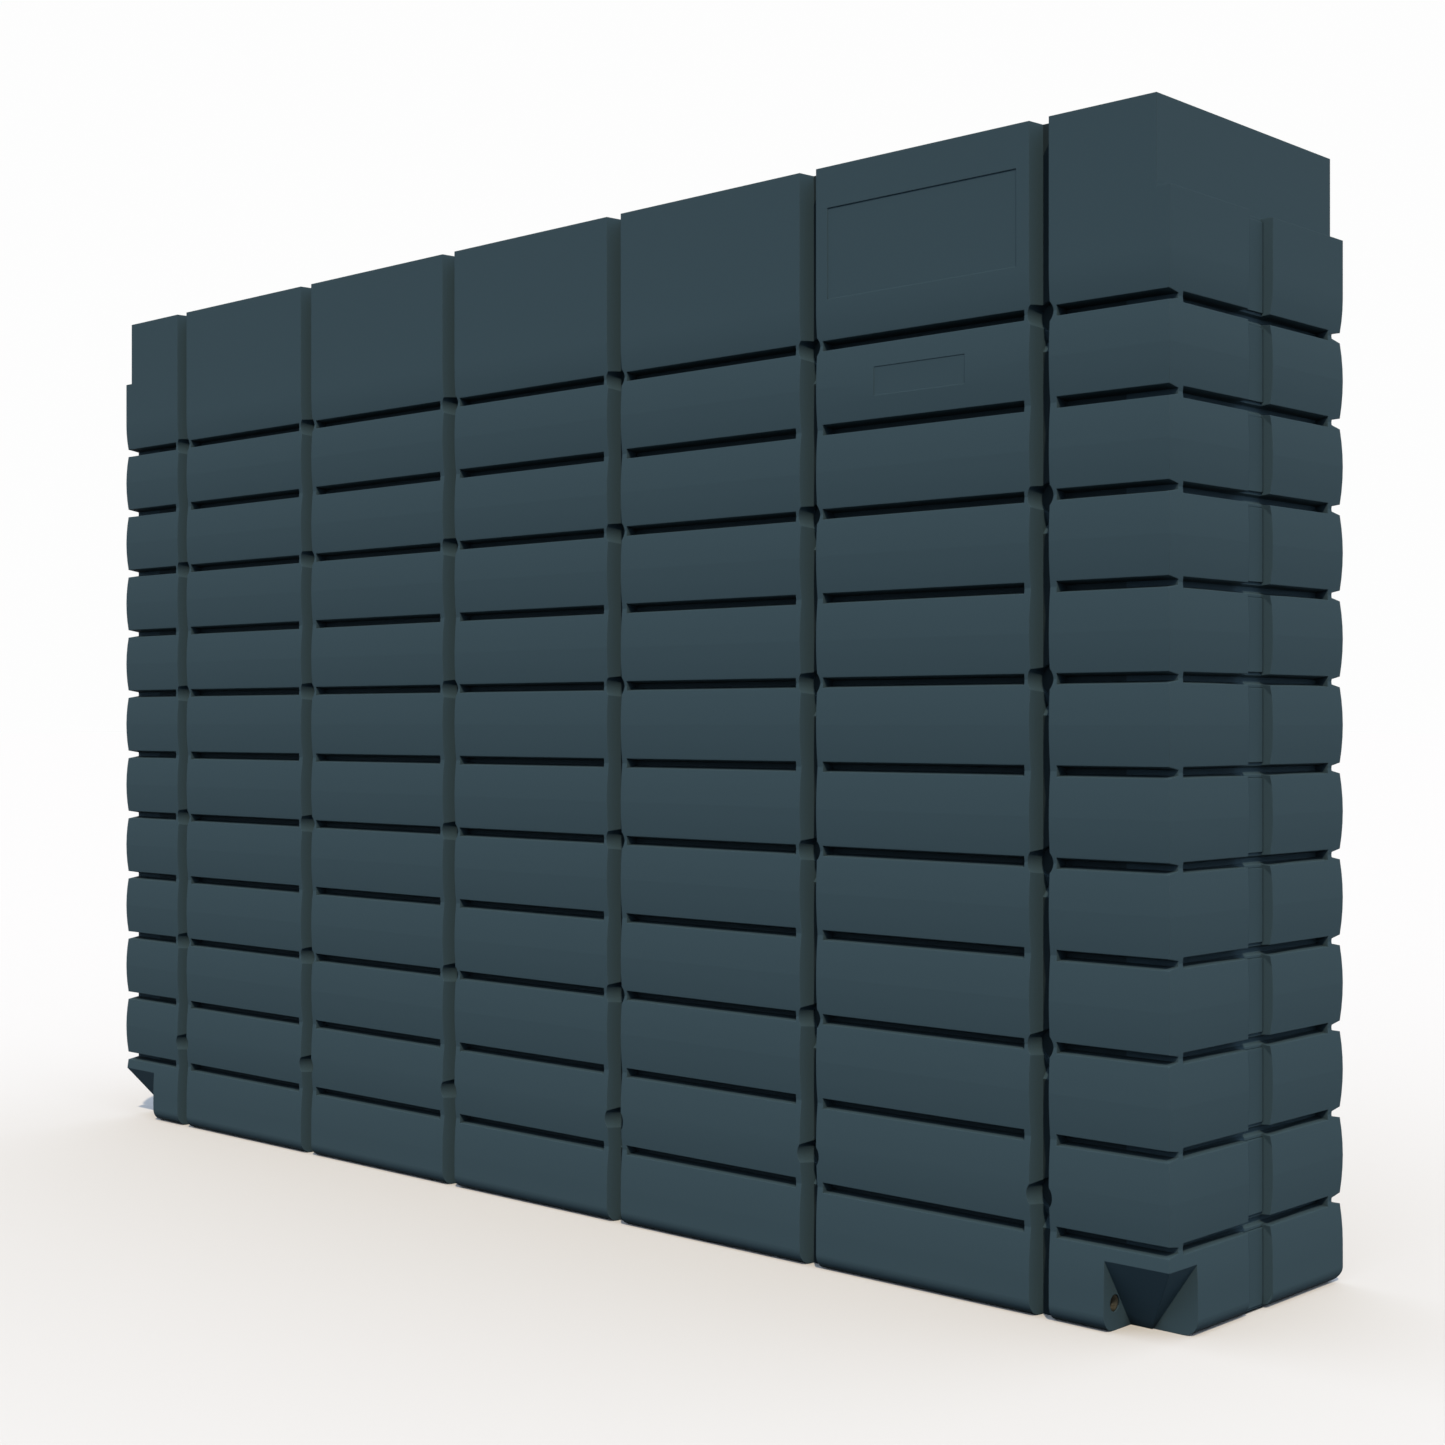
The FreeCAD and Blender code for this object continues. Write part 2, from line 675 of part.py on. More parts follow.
def outlet_cutter():
    """The pockets that the brass outlets fill, with the plastic skin's hole in front of each."""
    body = new_body("outlet_cutter")
    spot = (OUTLET_ACROSS, "sizes.outlet_height")
    skin = f"{OUTLET_WALL} - sizes.outlet_skin"
    opening = disc(body, "skin_hole", ACROSS, spot, "sizes.outlet_skin_bore", skin, "2 * sizes.outlet_skin")
    repeat(body, "skin_holes", opening, [ACROSS])
    sketch = hexagon(body, "collar_pocket_outline", "sizes.insert_half_flats", skin)
    collar = pad(body, "collar_pocket", sketch, "sizes.insert_collar", back=True)
    repeat(body, "collar_pockets", collar, [ACROSS])
    neck = disc(body, "neck_pocket", ACROSS, spot, "sizes.insert_neck", skin, "sizes.insert_length", back=True)
    repeat(body, "neck_pockets", neck, [ACROSS])
    return body


def hexagon(body, name, half_flats, lift):
    """A hexagon round the outlet's axis, two of its flats upright."""
    corners = []
    for turn in range(30, 390, 60):
        across = f"{OUTLET_ACROSS} + {half_flats} / cos(30) * cos({turn} - 30)"
        up = f"sizes.outlet_height + {half_flats} / cos(30) * sin({turn} - 30)"
        corners.append((across, up))
    return outline(body, name, ACROSS, corners, lift)


def bosses():
    """Solids left standing in the hollow: under the strainer's seat and round each outlet."""
    body = new_body("bosses")
    under = f"{SEAT_LEVEL} - sizes.wall"
    radius = "sizes.seat_radius + sizes.wall"
    disc(body, "seat_boss", LEVEL, ("0", "0"), radius, under, "sizes.seat_depth + sizes.wall")
    spot = (OUTLET_ACROSS, "sizes.outlet_height")
    length = "sizes.outlet_skin + sizes.insert_length"
    boss = disc(body, "outlet_boss", ACROSS, spot, "sizes.outlet_boss", OUTLET_WALL, length, back=True)
    repeat(body, "outlet_bosses", boss, [ACROSS])
    return body


def round_base(block):
    """Rounds the outer edges of the base."""
    rounded = DOC.addObject("Part::Fillet", "rounded_form")
    rounded.Base = block
    DOC.recompute()
    radius = value("sizes.base_radius")
    edges = []
    for index, edge in enumerate(block.Shape.Edges, start=1):
        box = edge.BoundBox
        if abs(box.ZMin) < 0.01 and abs(box.ZMax) < 0.01 and stands_on_wall(block.Shape, edge):
            edges.append((index, radius, radius))
    rounded.Edges = edges
    return rounded


def stands_on_wall(shape, edge):
    """True where both faces of an edge of the base are the base itself and an upright outer face."""
    half_length = value(HALF_LENGTH)
    half_width = value(HALF_WIDTH)
    middle = edge.valueAt((edge.FirstParameter + edge.LastParameter) / 2)
    on_end = abs(abs(middle.x) - half_length) < 0.01
    on_long_face = abs(abs(middle.y) - half_width) < 0.01
    return on_end or on_long_face


def outside_form():
    """The outside of the moulding as a solid form, without its openings."""
    block = cut("form_block", blank("form", "0", "0"), notches("form", "0"))
    long_valleys, end_valleys = valleys()
    staves = cut("long_staves", round_base(block), long_valleys)
    staves = cut("staves", staves, end_valleys)
    columns = fuse("channel_columns", [channels(), pockets(), dips()])
    end_work = fuse("end_work", [end_channels("form", "0"), recesses("form", "0"), end_slits()])
    return cut("outside_form", staves, group("face_work", [columns, long_slits(), end_work, frames()]))


def inside_form():
    """The hollow, which keeps a wall's thickness away from every face of the outside."""
    grow = "sizes.wall"
    core = blank("hollow", "(sizes.wall + sizes.row_bow)", grow)
    fillers = [notches("hollow", grow), end_channels("hollow", grow), recesses("hollow", grow)]
    fillers += [*slit_bands(), pillars(), bosses()]
    return cut("inside_form", core, fuse("fillers", fillers))


def tank():
    """The moulding. The hollow lies wholly inside the outside form, so its skin simply becomes the
    solid's inner shell, and only the openings are cut through both skins."""
    outside = outside_form()
    inside = inside_form()
    openings = fuse("openings", [inlet_cutter(), overflow_cutter(), outlet_cutter()])
    DOC.recompute()
    skins = [outside.Shape.Solids[0].Shells[0], inside.Shape.Solids[0].Shells[0].reversed()]
    body = DOC.addObject("Part::Feature", "tank_body")
    body.Shape = Part.Solid(Part.Compound(skins)).cut(openings.Shape)
    return body


def strainer_holes(body, radius, start, length):
    """The ring of screw holes that the strainer's pieces share."""
    hole = bore(body, f"{body.Name}_screw_hole", LEVEL, (SCREW_CIRCLE, "0"), radius, start, length)
    ring_of(body, f"{body.Name}_screw_holes", [hole], "sizes.strainer_screw_count")


def strainer_frame():
    """A basket with a flange that rests in the well, and spokes that carry the mesh."""
    body = new_body("strainer_frame")
    flange = "sizes.seat_radius - sizes.strainer_clearance"
    rim = f"{SEAT_LEVEL} + sizes.flange_thickness"
    basket = [
        (LEDGE_INNER, LEDGE_UNDER),
        (BASKET_RADIUS, LEDGE_UNDER),
        (BASKET_RADIUS, SEAT_LEVEL),
        (flange, SEAT_LEVEL),
        (flange, rim),
        (LEDGE_OUTER, rim),
        (LEDGE_OUTER, MESH_LEVEL),
        (LEDGE_INNER, MESH_LEVEL),
    ]
    turned(body, "basket", basket)
    start = f"{MESH_LEVEL} - sizes.spoke_depth"
    disc(body, "hub", LEVEL, ("0", "0"), "sizes.hub_radius", start, "sizes.spoke_depth")
    half = "sizes.spoke_width / 2"
    reach = f"({LEDGE_INNER} + {GUARD_INNER}) / 2"
    sketch = rectangle(body, "spoke_plan", LEVEL, "sizes.hub_radius / 2", reach, f"-{half}", half, start)
    spoke = pad(body, "spoke", sketch, "sizes.spoke_depth")
    ring_of(body, "spokes", [spoke], "sizes.spoke_count")
    strainer_holes(body, "sizes.screw_radius", LEDGE_UNDER, "sizes.strainer_wall")
    return body


def strainer_mesh():
    body = new_body("strainer_mesh")
    radius = f"{LEDGE_OUTER} - sizes.ring_margin"
    disc(body, "mesh_sheet", LEVEL, ("0", "0"), radius, MESH_LEVEL, "sizes.mesh_thickness")
    strainer_holes(body, LOOSE_HOLE, MESH_LEVEL, "sizes.mesh_thickness")
    return body


def mesh_ring():
    """Clamps the mesh to the basket's ledge."""
    body = new_body("mesh_ring")
    start = f"{MESH_LEVEL} + sizes.mesh_thickness"
    middle = ("0", "0")
    radius = f"{LEDGE_OUTER} - sizes.ring_margin"
    disc(body, "clamp_ring", LEVEL, middle, radius, start, "sizes.ring_thickness")
    inner = f"{LEDGE_INNER} + sizes.ring_margin"
    bore(body, "clamp_ring_bore", LEVEL, middle, inner, start, "sizes.ring_thickness")
    strainer_holes(body, LOOSE_HOLE, start, "sizes.ring_thickness")
    return body


def light_guard():
    """A dish under the strainer. Water leaves it through the slots in its side."""
    body = new_body("light_guard")
    sheet = "sizes.guard_sheet"
    floor = f"({LEDGE_UNDER} - sizes.guard_drop)"
    flange = f"{SCREW_CIRCLE} + sizes.guard_flange / 2"
    dish = [
        ("0", floor),
        (f"{GUARD_INNER} + {sheet}", floor),
        (f"{GUARD_INNER} + {sheet}", f"{LEDGE_UNDER} - {sheet}"),
        (flange, f"{LEDGE_UNDER} - {sheet}"),
        (flange, LEDGE_UNDER),
        (GUARD_INNER, LEDGE_UNDER),
        (GUARD_INNER, f"{floor} + {sheet}"),
        ("0", f"{floor} + {sheet}"),
    ]
    turned(body, "dish", dish)
    half = "sizes.guard_slot_width / 2"
    low = f"{floor} + 2 * {sheet}"
    high = f"{LEDGE_UNDER} - 2 * {sheet}"
    start = f"{GUARD_INNER} - {sheet}"
    sketch = rectangle(body, "guard_slot_outline", ALONG, f"-{half}", half, low, high, start)
    slot = pocket(body, "guard_slot", sketch, f"3 * {sheet}")
    ring_of(body, "guard_slots", [slot], "sizes.guard_slot_count")
    strainer_holes(body, "sizes.screw_radius", f"{LEDGE_UNDER} - {sheet}", sheet)
    return body


def strainer_screws():
    """Screws that hold the ring, the mesh, the ledge and the guard together."""
    body = new_body("strainer_screws")
    tip = f"({LEDGE_UNDER} - sizes.guard_sheet - sizes.screw_tip)"
    spot = (SCREW_CIRCLE, "0")
    shank = disc(body, "strainer_shank", LEVEL, spot, "sizes.screw_radius", tip, f"{RING_TOP} - {tip}")
    radius = "sizes.screw_head_radius"
    head = disc(body, "strainer_screw_head", LEVEL, spot, radius, RING_TOP, "sizes.screw_head")
    ring_of(body, "strainer_screw_ring", [shank, head], "sizes.strainer_screw_count")
    return body


def overflow_holes(body, start, length):
    """The ring of screw holes that the overflow's loose pieces share."""
    spot = ("0", "sizes.overflow_screw_circle")
    hole = bore(body, f"{body.Name}_screw_hole", ACROSS, spot, LOOSE_HOLE, start, length, back=True)
    ring_of(body, f"{body.Name}_screw_holes", [hole], "sizes.overflow_screw_count", X_AXIS)


def overflow_flange():
    """A flanged sleeve. A step in its bore stops the screen from sliding into the tank."""
    body = new_body("overflow_flange", OVERFLOW_PLACE)
    middle = ("0", "0")
    start = "-sizes.gasket"
    thick = "sizes.overflow_flange"
    disc(body, "flange_plate", ACROSS, middle, "sizes.overflow_flange_radius", start, thick, back=True)
    inner_end = "sizes.overflow_reach_in"
    length = "sizes.overflow_reach_in + sizes.gasket + sizes.overflow_flange + sizes.overflow_lip"
    disc(body, "sleeve", ACROSS, middle, "sizes.overflow_radius", inner_end, length, back=True)
    step = f"{OVERFLOW_BORE} - sizes.overflow_step"
    bore(body, "step_bore", ACROSS, middle, step, inner_end, length, back=True)
    inner = "sizes.overflow_reach_in + sizes.gasket"
    bore(body, "inner_bore", ACROSS, middle, OVERFLOW_BORE, inner_end, inner, back=True)
    outer = "-sizes.gasket - sizes.overflow_flange"
    bore(body, "outer_bore", ACROSS, middle, OVERFLOW_BORE, outer, "sizes.overflow_lip", back=True)
    overflow_holes(body, start, thick)
    return body


def overflow_gasket():
    body = new_body("overflow_gasket", OVERFLOW_PLACE)
    middle = ("0", "0")
    radius = "sizes.overflow_flange_radius - sizes.gasket_margin"
    disc(body, "gasket_sheet", ACROSS, middle, radius, "0", "sizes.gasket", back=True)
    bore(body, "gasket_bore", ACROSS, middle, "sizes.overflow_radius", "0", "sizes.gasket", back=True)
    overflow_holes(body, "0", "sizes.gasket")
    return body


def overflow_screen():
    body = new_body("overflow_screen", OVERFLOW_PLACE)
    start = "-sizes.gasket - sizes.overflow_flange"
    disc(body, "screen_sheet", ACROSS, ("0", "0"), OVERFLOW_BORE, start, "sizes.mesh_thickness", back=True)
    return body


def overflow_screen_ring():
    """Pressed into the sleeve to hold the screen against the step."""
    body = new_body("overflow_screen_ring", OVERFLOW_PLACE)
    middle = ("0", "0")
    start = "-sizes.gasket - sizes.overflow_flange - sizes.mesh_thickness"
    disc(body, "press_ring", ACROSS, middle, OVERFLOW_BORE, start, "sizes.screen_ring", back=True)
    inner = f"{OVERFLOW_BORE} - sizes.screen_ring_width"
    bore(body, "press_ring_bore", ACROSS, middle, inner, start, "sizes.screen_ring", back=True)
    return body


def overflow_screws():
    body = new_body("overflow_screws", OVERFLOW_PLACE)
    spot = ("0", "sizes.overflow_screw_circle")
    tip = "sizes.wall + sizes.screw_tip"
    length = f"{tip} + sizes.gasket + sizes.overflow_flange"
    shank = disc(body, "overflow_shank", ACROSS, spot, "sizes.screw_radius", tip, length, back=True)
    seat = "-sizes.gasket - sizes.overflow_flange"
    radius = "sizes.screw_head_radius"
    head = disc(body, "overflow_screw_head", ACROSS, spot, radius, seat, "sizes.screw_head", back=True)
    ring_of(body, "overflow_screw_ring", [shank, head], "sizes.overflow_screw_count", X_AXIS)
    return body


def outlet_insert(side, sign):
    """A brass outlet moulded in behind the plastic skin, its hexagon keeping it from turning."""
    name = f"outlet_insert_{side}"
    body = new_body(name)
    spot = (OUTLET_ACROSS, "sizes.outlet_height")
    face = f"{sign} * ({OUTLET_WALL} - sizes.outlet_skin)"
    inward = sign > 0
    length = "sizes.insert_length"
    sketch = hexagon(body, f"{side}_collar_outline", "sizes.insert_half_flats", face)
    pad(body, f"{side}_collar", sketch, "sizes.insert_collar", back=inward)
    disc(body, f"{side}_neck", ACROSS, spot, "sizes.insert_neck", face, length, back=inward)
    bore(body, f"{side}_outlet_bore", ACROSS, spot, "sizes.outlet_bore", face, length, back=inward)
    return body


def outlet_plug():
    """Closes the spare outlet, its head flush with the plastic skin."""
    body = new_body("outlet_plug")
    spot = (OUTLET_ACROSS, "sizes.outlet_height")
    disc(body, "plug_head", ACROSS, spot, "sizes.plug_head", f"-{OUTLET_WALL}", "sizes.outlet_skin")
    start = f"-{OUTLET_WALL} + sizes.outlet_skin"
    radius = "sizes.outlet_bore - sizes.thread_clearance"
    disc(body, "plug_shank", ACROSS, spot, radius, start, "sizes.plug_length")
    sketch = hexagon(body, "plug_socket_outline", "sizes.plug_socket_half_flats", f"-{OUTLET_WALL}")
    pocket(body, "plug_socket", sketch, "sizes.plug_socket_depth")
    return body


def main():
    os.makedirs("parts", exist_ok=True)
    pieces = [strainer_frame(), strainer_mesh(), mesh_ring(), strainer_screws(), light_guard()]
    pieces += [overflow_flange(), overflow_gasket(), overflow_screen(), overflow_screen_ring()]
    pieces += [overflow_screws(), outlet_insert("left", -1), outlet_insert("right", 1), outlet_plug()]
    pieces.append(tank())
    DOC.recompute()
    for item in DOC.Objects:
        if "Invalid" in item.State or "Error" in item.State:
            raise RuntimeError(f"{item.Name} failed: {item.State}")
    for piece in pieces:
        shape = piece.Shape
        if shape.isNull() or not shape.isValid() or not shape.Solids:
            raise RuntimeError(f"{piece.Name} has no valid solid")
        shape.exportStep(f"parts/{piece.Label}.step")
        print(piece.Label, len(shape.Solids), "solids", len(shape.Faces), "faces", round(shape.Volume / 1e6, 3))


fill_sheet()
PROBE = new_body("probe")
main()
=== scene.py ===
import json
import math

import bmesh
import bpy
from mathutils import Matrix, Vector


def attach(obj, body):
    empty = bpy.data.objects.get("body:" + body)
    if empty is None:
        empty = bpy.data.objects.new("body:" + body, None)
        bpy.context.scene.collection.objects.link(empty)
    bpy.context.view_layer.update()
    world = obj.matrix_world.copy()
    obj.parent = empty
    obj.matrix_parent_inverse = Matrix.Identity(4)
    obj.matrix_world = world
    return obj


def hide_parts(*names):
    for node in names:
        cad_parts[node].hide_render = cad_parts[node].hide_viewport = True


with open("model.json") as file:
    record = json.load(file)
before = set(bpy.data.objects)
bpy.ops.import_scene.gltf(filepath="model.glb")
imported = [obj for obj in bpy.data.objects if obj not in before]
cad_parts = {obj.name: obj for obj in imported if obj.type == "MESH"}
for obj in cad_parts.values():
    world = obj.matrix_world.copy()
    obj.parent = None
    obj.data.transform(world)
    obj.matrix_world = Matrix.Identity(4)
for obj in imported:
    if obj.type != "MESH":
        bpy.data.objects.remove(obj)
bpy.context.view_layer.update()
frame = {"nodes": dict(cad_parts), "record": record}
NODES = frame["nodes"]

# One millimetre in the scene's metres.
MM = 0.001
FULL_TURN = 2 * math.pi


def linear(hex_colour):
    """A screen colour such as 36474E as the linear colour that shaders take."""
    channels = [int(hex_colour[place:place + 2], 16) / 255 for place in (0, 2, 4)]
    return [c / 12.92 if c <= 0.04045 else ((c + 0.055) / 1.055) ** 2.4 for c in channels] + [1]


def add(tree, kind, links=None, **settings):
    """Adds a shader node. A setting names a property or a socket, and links go from sockets to sockets."""
    part = tree.nodes.new(kind)
    for name, setting in settings.items():
        if hasattr(part, name):
            setattr(part, name, setting)
        else:
            part.inputs[name.replace("_", " ")].default_value = setting
    for socket, source in (links or {}).items():
        tree.links.new(source, part.inputs[socket])
    return part


def new_material(name):
    """A material with nothing in it yet."""
    material = bpy.data.materials.new(name)
    material.use_nodes = True
    tree = material.node_tree
    tree.nodes.clear()
    return material, tree


def finish_material(tree, shader):
    """Ends a material with its output."""
    add(tree, "ShaderNodeOutputMaterial", {"Surface": shader})


# The floors of the front and back channels, where shade is painted, lie no further than this from the tank's
# middle plane and from its middle, in mm, and they face the front or the back at least this squarely.
FLOOR_REACH, FLOOR_END = 258, 1400
FLOOR_SQUARE = 0.9


def channel_floor_shade(tree, place):
    """0 on the floors that lie deep behind the front and back faces, where shade is painted, and 1 elsewhere.
    """
    spot = add(tree, "ShaderNodeSeparateXYZ", {"Vector": place})
    normal = add(tree, "ShaderNodeNewGeometry").outputs["True Normal"]
    facing = add(tree, "ShaderNodeSeparateXYZ", {"Vector": normal})
    tests = []
    for value, operation, limit in (
        (spot.outputs["Y"], "GREATER_THAN", FLOOR_REACH * MM),
        (facing.outputs["Y"], "LESS_THAN", FLOOR_SQUARE),
        (spot.outputs["X"], "GREATER_THAN", FLOOR_END * MM),
    ):
        amount = add(tree, "ShaderNodeMath", {0: value}, operation="ABSOLUTE")
        test = add(tree, "ShaderNodeMath", {0: amount.outputs["Value"]}, operation=operation)
        test.inputs[1].default_value = limit
        tests.append(test.outputs["Value"])
    either = add(tree, "ShaderNodeMath", {0: tests[0], 1: tests[1]}, operation="MAXIMUM")
    any_test = {0: either.outputs["Value"], 1: tests[2]}
    return add(tree, "ShaderNodeMath", any_test, operation="MAXIMUM").outputs["Value"]


# The width of the ripples that a rotational mould leaves, in mm.
PEEL_GRAIN = 4.55


def moulded_polyethylene():
    """The tank's plastic: matte and even, with the faint orange peel of a rotational mould, and painted shade
    on the floors of its channels and slits and in its narrowest places.
    """
    material, tree = new_material("moulded_polyethylene")
    place = add(tree, "ShaderNodeTexCoord").outputs["Object"]
    # Softens the edges that a mould leaves at about 2 mm.
    edge = add(tree, "ShaderNodeBevel", samples=4, Radius=2 * MM)
    peel = add(tree, "ShaderNodeTexNoise", {"Vector": place}, Scale=1 / (PEEL_GRAIN * MM), Detail=2)
    bump = add(
        tree,
        "ShaderNodeBump",
        {"Height": peel.outputs["Fac"], "Normal": edge.outputs["Normal"]},
        Strength=0.05,
        Distance=0.3 * MM,
    )
    # Painted shade: the floors of the channels and slits, and the narrowest places found by ambient
    # occlusion, take a darker colour, the narrowest the darkest.
    open_sky = add(tree, "ShaderNodeAmbientOcclusion", samples=8, Distance=30 * MM)
    narrow = add(tree, "ShaderNodeMapRange", {"Value": open_sky.outputs["AO"]}, From_Min=0.15, From_Max=0.5)
    floors = channel_floor_shade(tree, place)
    unshaded = add(tree, "ShaderNodeMath", {0: narrow.outputs["Result"], 1: floors}, operation="MULTIPLY")
    colour = add(tree, "ShaderNodeMix", {"Factor": unshaded.outputs["Value"]}, data_type="RGBA")
    # The colour of the painted shade.
    colour.inputs["A"].default_value = linear("222C30")
    colour.inputs["B"].default_value = linear("34454D")
    shader = add(
        tree,
        "ShaderNodeBsdfPrincipled",
        {"Normal": bump.outputs["Normal"], "Base Color": colour.outputs["Result"]},
        Roughness=0.75,
        Specular_IOR_Level=0.03,
    )
    finish_material(tree, shader.outputs["BSDF"])
    return material


# How many times wider than the grain the patches of a finish's second colour are, and how far the
# grain moves its roughness either way.
PATCH = 40
UNEVEN = 0.08


def grained(name, colour, shade, grain, roughness, metallic=0.0, specular=0.5):
    """A finish that wanders between two close colours, with a fine grain given in mm."""
    material, tree = new_material(name)
    place = add(tree, "ShaderNodeTexCoord").outputs["Object"]
    fine = add(tree, "ShaderNodeTexNoise", {"Vector": place}, Scale=1 / (grain * MM), Detail=3)
    wide = add(tree, "ShaderNodeTexNoise", {"Vector": place}, Scale=1 / (PATCH * grain * MM), Detail=2)
    tone = add(tree, "ShaderNodeMix", {"Factor": wide.outputs["Fac"]}, data_type="RGBA")
    tone.inputs["A"].default_value = linear(colour)
    tone.inputs["B"].default_value = linear(shade)
    polish = add(tree, "ShaderNodeMapRange", {"Value": fine.outputs["Fac"]})
    polish.inputs["To Min"].default_value = roughness - UNEVEN
    polish.inputs["To Max"].default_value = roughness + UNEVEN
    bump = add(tree, "ShaderNodeBump", {"Height": fine.outputs["Fac"]}, Strength=0.2, Distance=0.1 * MM)
    shader = add(
        tree,
        "ShaderNodeBsdfPrincipled",
        {
            "Base Color": tone.outputs["Result"],
            "Roughness": polish.outputs["Result"],
            "Normal": bump.outputs["Normal"],
        },
        Metallic=metallic,
        Specular_IOR_Level=specular,
    )
    finish_material(tree, shader.outputs["BSDF"])
    return material


# The wires of the two meshes, in mm from one to the next. Real ones are about half as far apart, and
# these are coarser so that they show.
WIRE_PITCH = 3


def woven_stainless():
    """Stainless wire cloth: bright drawn wires with daylight between them, a grey veil from afar."""
    material, tree = new_material("woven_stainless")
    place = add(tree, "ShaderNodeTexCoord").outputs["Object"]
    wires = []
    for direction in ("X", "Y"):
        wave = add(tree, "ShaderNodeTexWave", {"Vector": place}, wave_type="BANDS", bands_direction=direction)
        # One wave of this texture is pi / 10 wide at a scale of 1.
        wave.inputs["Scale"].default_value = math.pi / 10 / (WIRE_PITCH * MM)
        wires.append(wave.outputs["Fac"])
    weave = add(tree, "ShaderNodeMath", {0: wires[0], 1: wires[1]}, operation="MAXIMUM")
    height = weave.outputs["Value"]
    solid = add(tree, "ShaderNodeMapRange", {"Value": height}, From_Min=0.35, From_Max=0.5)
    bump = add(tree, "ShaderNodeBump", {"Height": height}, Strength=0.6, Distance=0.4 * MM)
    wire = add(
        tree,
        "ShaderNodeBsdfPrincipled",
        {"Normal": bump.outputs["Normal"]},
        Base_Color=linear("9A9C9E"),
        Roughness=0.35,
        Metallic=1.0,
    )
    hole = add(tree, "ShaderNodeBsdfTransparent")
    cloth = add(
        tree,
        "ShaderNodeMixShader",
        {0: solid.outputs["Result"], 1: hole.outputs["BSDF"], 2: wire.outputs["BSDF"]},
    )
    finish_material(tree, cloth.outputs["Shader"])
    return material


def set_material(piece, material):
    """Gives a piece one material all over."""
    piece.data.materials.clear()
    piece.data.materials.append(material)


def dress_nodes():
    """Gives each CAD node the material of its slot, and returns the materials by slot."""
    finishes = {
        "tank_plastic": moulded_polyethylene(),
        # Injection moulded in a spark eroded mould, which leaves a low, broad sheen.
        "strainer_plastic": grained("black_polypropylene", "1C1D1E", "222324", 0.8, 0.5),
        "mesh_metal": woven_stainless(),
        # Cold headed and passivated, so it is bright but not like a mirror.
        "screw_steel": grained("stainless_steel", "B4B6B8", "A6A8AA", 0.5, 0.3, metallic=1.0),
        # Cut from sheet, and the dullest of the black pieces to the eye.
        "seal_rubber": grained("nitrile_rubber", "141414", "191919", 0.6, 0.75, specular=0.3),
        # Turned, then browned by the mould's heat, so it is dark with a dull glint.
        "outlet_brass": grained("tarnished_brass", "4C4B43", "403F39", 0.7, 0.6, metallic=1.0),
        # Injection moulded in a polished mould, and a little glossier than the strainer.
        "plug_plastic": grained("black_nylon", "191919", "202020", 0.8, 0.45),
    }
    slots = {part["node"]: part["material_slot"] for part in frame["record"]["subparts"]}
    for name, node in NODES.items():
        set_material(node, finishes[slots[name]])
    return finishes


def new_object(name, data):
    """An object in the scene."""
    thing = bpy.data.objects.new(name, data)
    bpy.context.scene.collection.objects.link(thing)
    return thing


# Where the moulding's slits stand in the solid and on the real tank, in mm above the ground.
LOWEST_SLIT, SLIT_PITCH = 144.5, 150.0
REAL_LOWEST_SLIT, REAL_SLIT_PITCH = 147.6, 150.3
TOP_SLIT = LOWEST_SLIT + 10 * SLIT_PITCH
TOP_CROWN = TOP_SLIT + SLIT_PITCH / 2
# The panels pressed into the front, in mm: left, right, low and high edges inside their outlines.
PANELS = [(800.5, 1203.5, 1735.0, 1891.0), (906.5, 1097.5, 1553.0, 1597.0)]
FRONT = -282.0
PANEL_DEPTH = 1.5
# A panel's own points lie up to the first of these past its edges, and its outline's up to the
# second. Both lie less than the third behind the front.
PANEL_EDGE, PANEL_OUTLINE, PANEL_BEHIND = 1.0, 4.0, 3.0
# The upright channel in each end: its floor in the solid, and as deep and wide as on the real tank.
END_FLOOR, REAL_END_FLOOR = 1488.0, 1479.0
END_FLOOR_HALF, REAL_END_FLOOR_HALF = 33.0, 36.5
END_MOUTH_HALF, REAL_END_MOUTH_HALF = 37.0, 38.5
# How near to one of those lines a point of the mesh counts as on it, in mm.
NEAR = 1.2


def lift(height):
    """How far a level of the solid rises to stand where the real tank has it, in mm."""
    spread = (REAL_SLIT_PITCH - SLIT_PITCH) / SLIT_PITCH
    if height < LOWEST_SLIT:
        return (REAL_LOWEST_SLIT - LOWEST_SLIT) * height / LOWEST_SLIT
    rise = REAL_LOWEST_SLIT - LOWEST_SLIT + spread * (min(height, TOP_SLIT) - LOWEST_SLIT)
    fade = (TOP_CROWN - height) / (TOP_CROWN - TOP_SLIT)
    return rise * max(0.0, min(1.0, fade))


def in_panel(x, y, z, margin):
    """True on the front, inside a panel's edges or up to a margin outside them."""
    return y < FRONT + PANEL_BEHIND and any(
        left - margin <= x <= right + margin and low - margin <= z <= high + margin
        for left, right, low, high in PANELS
    )


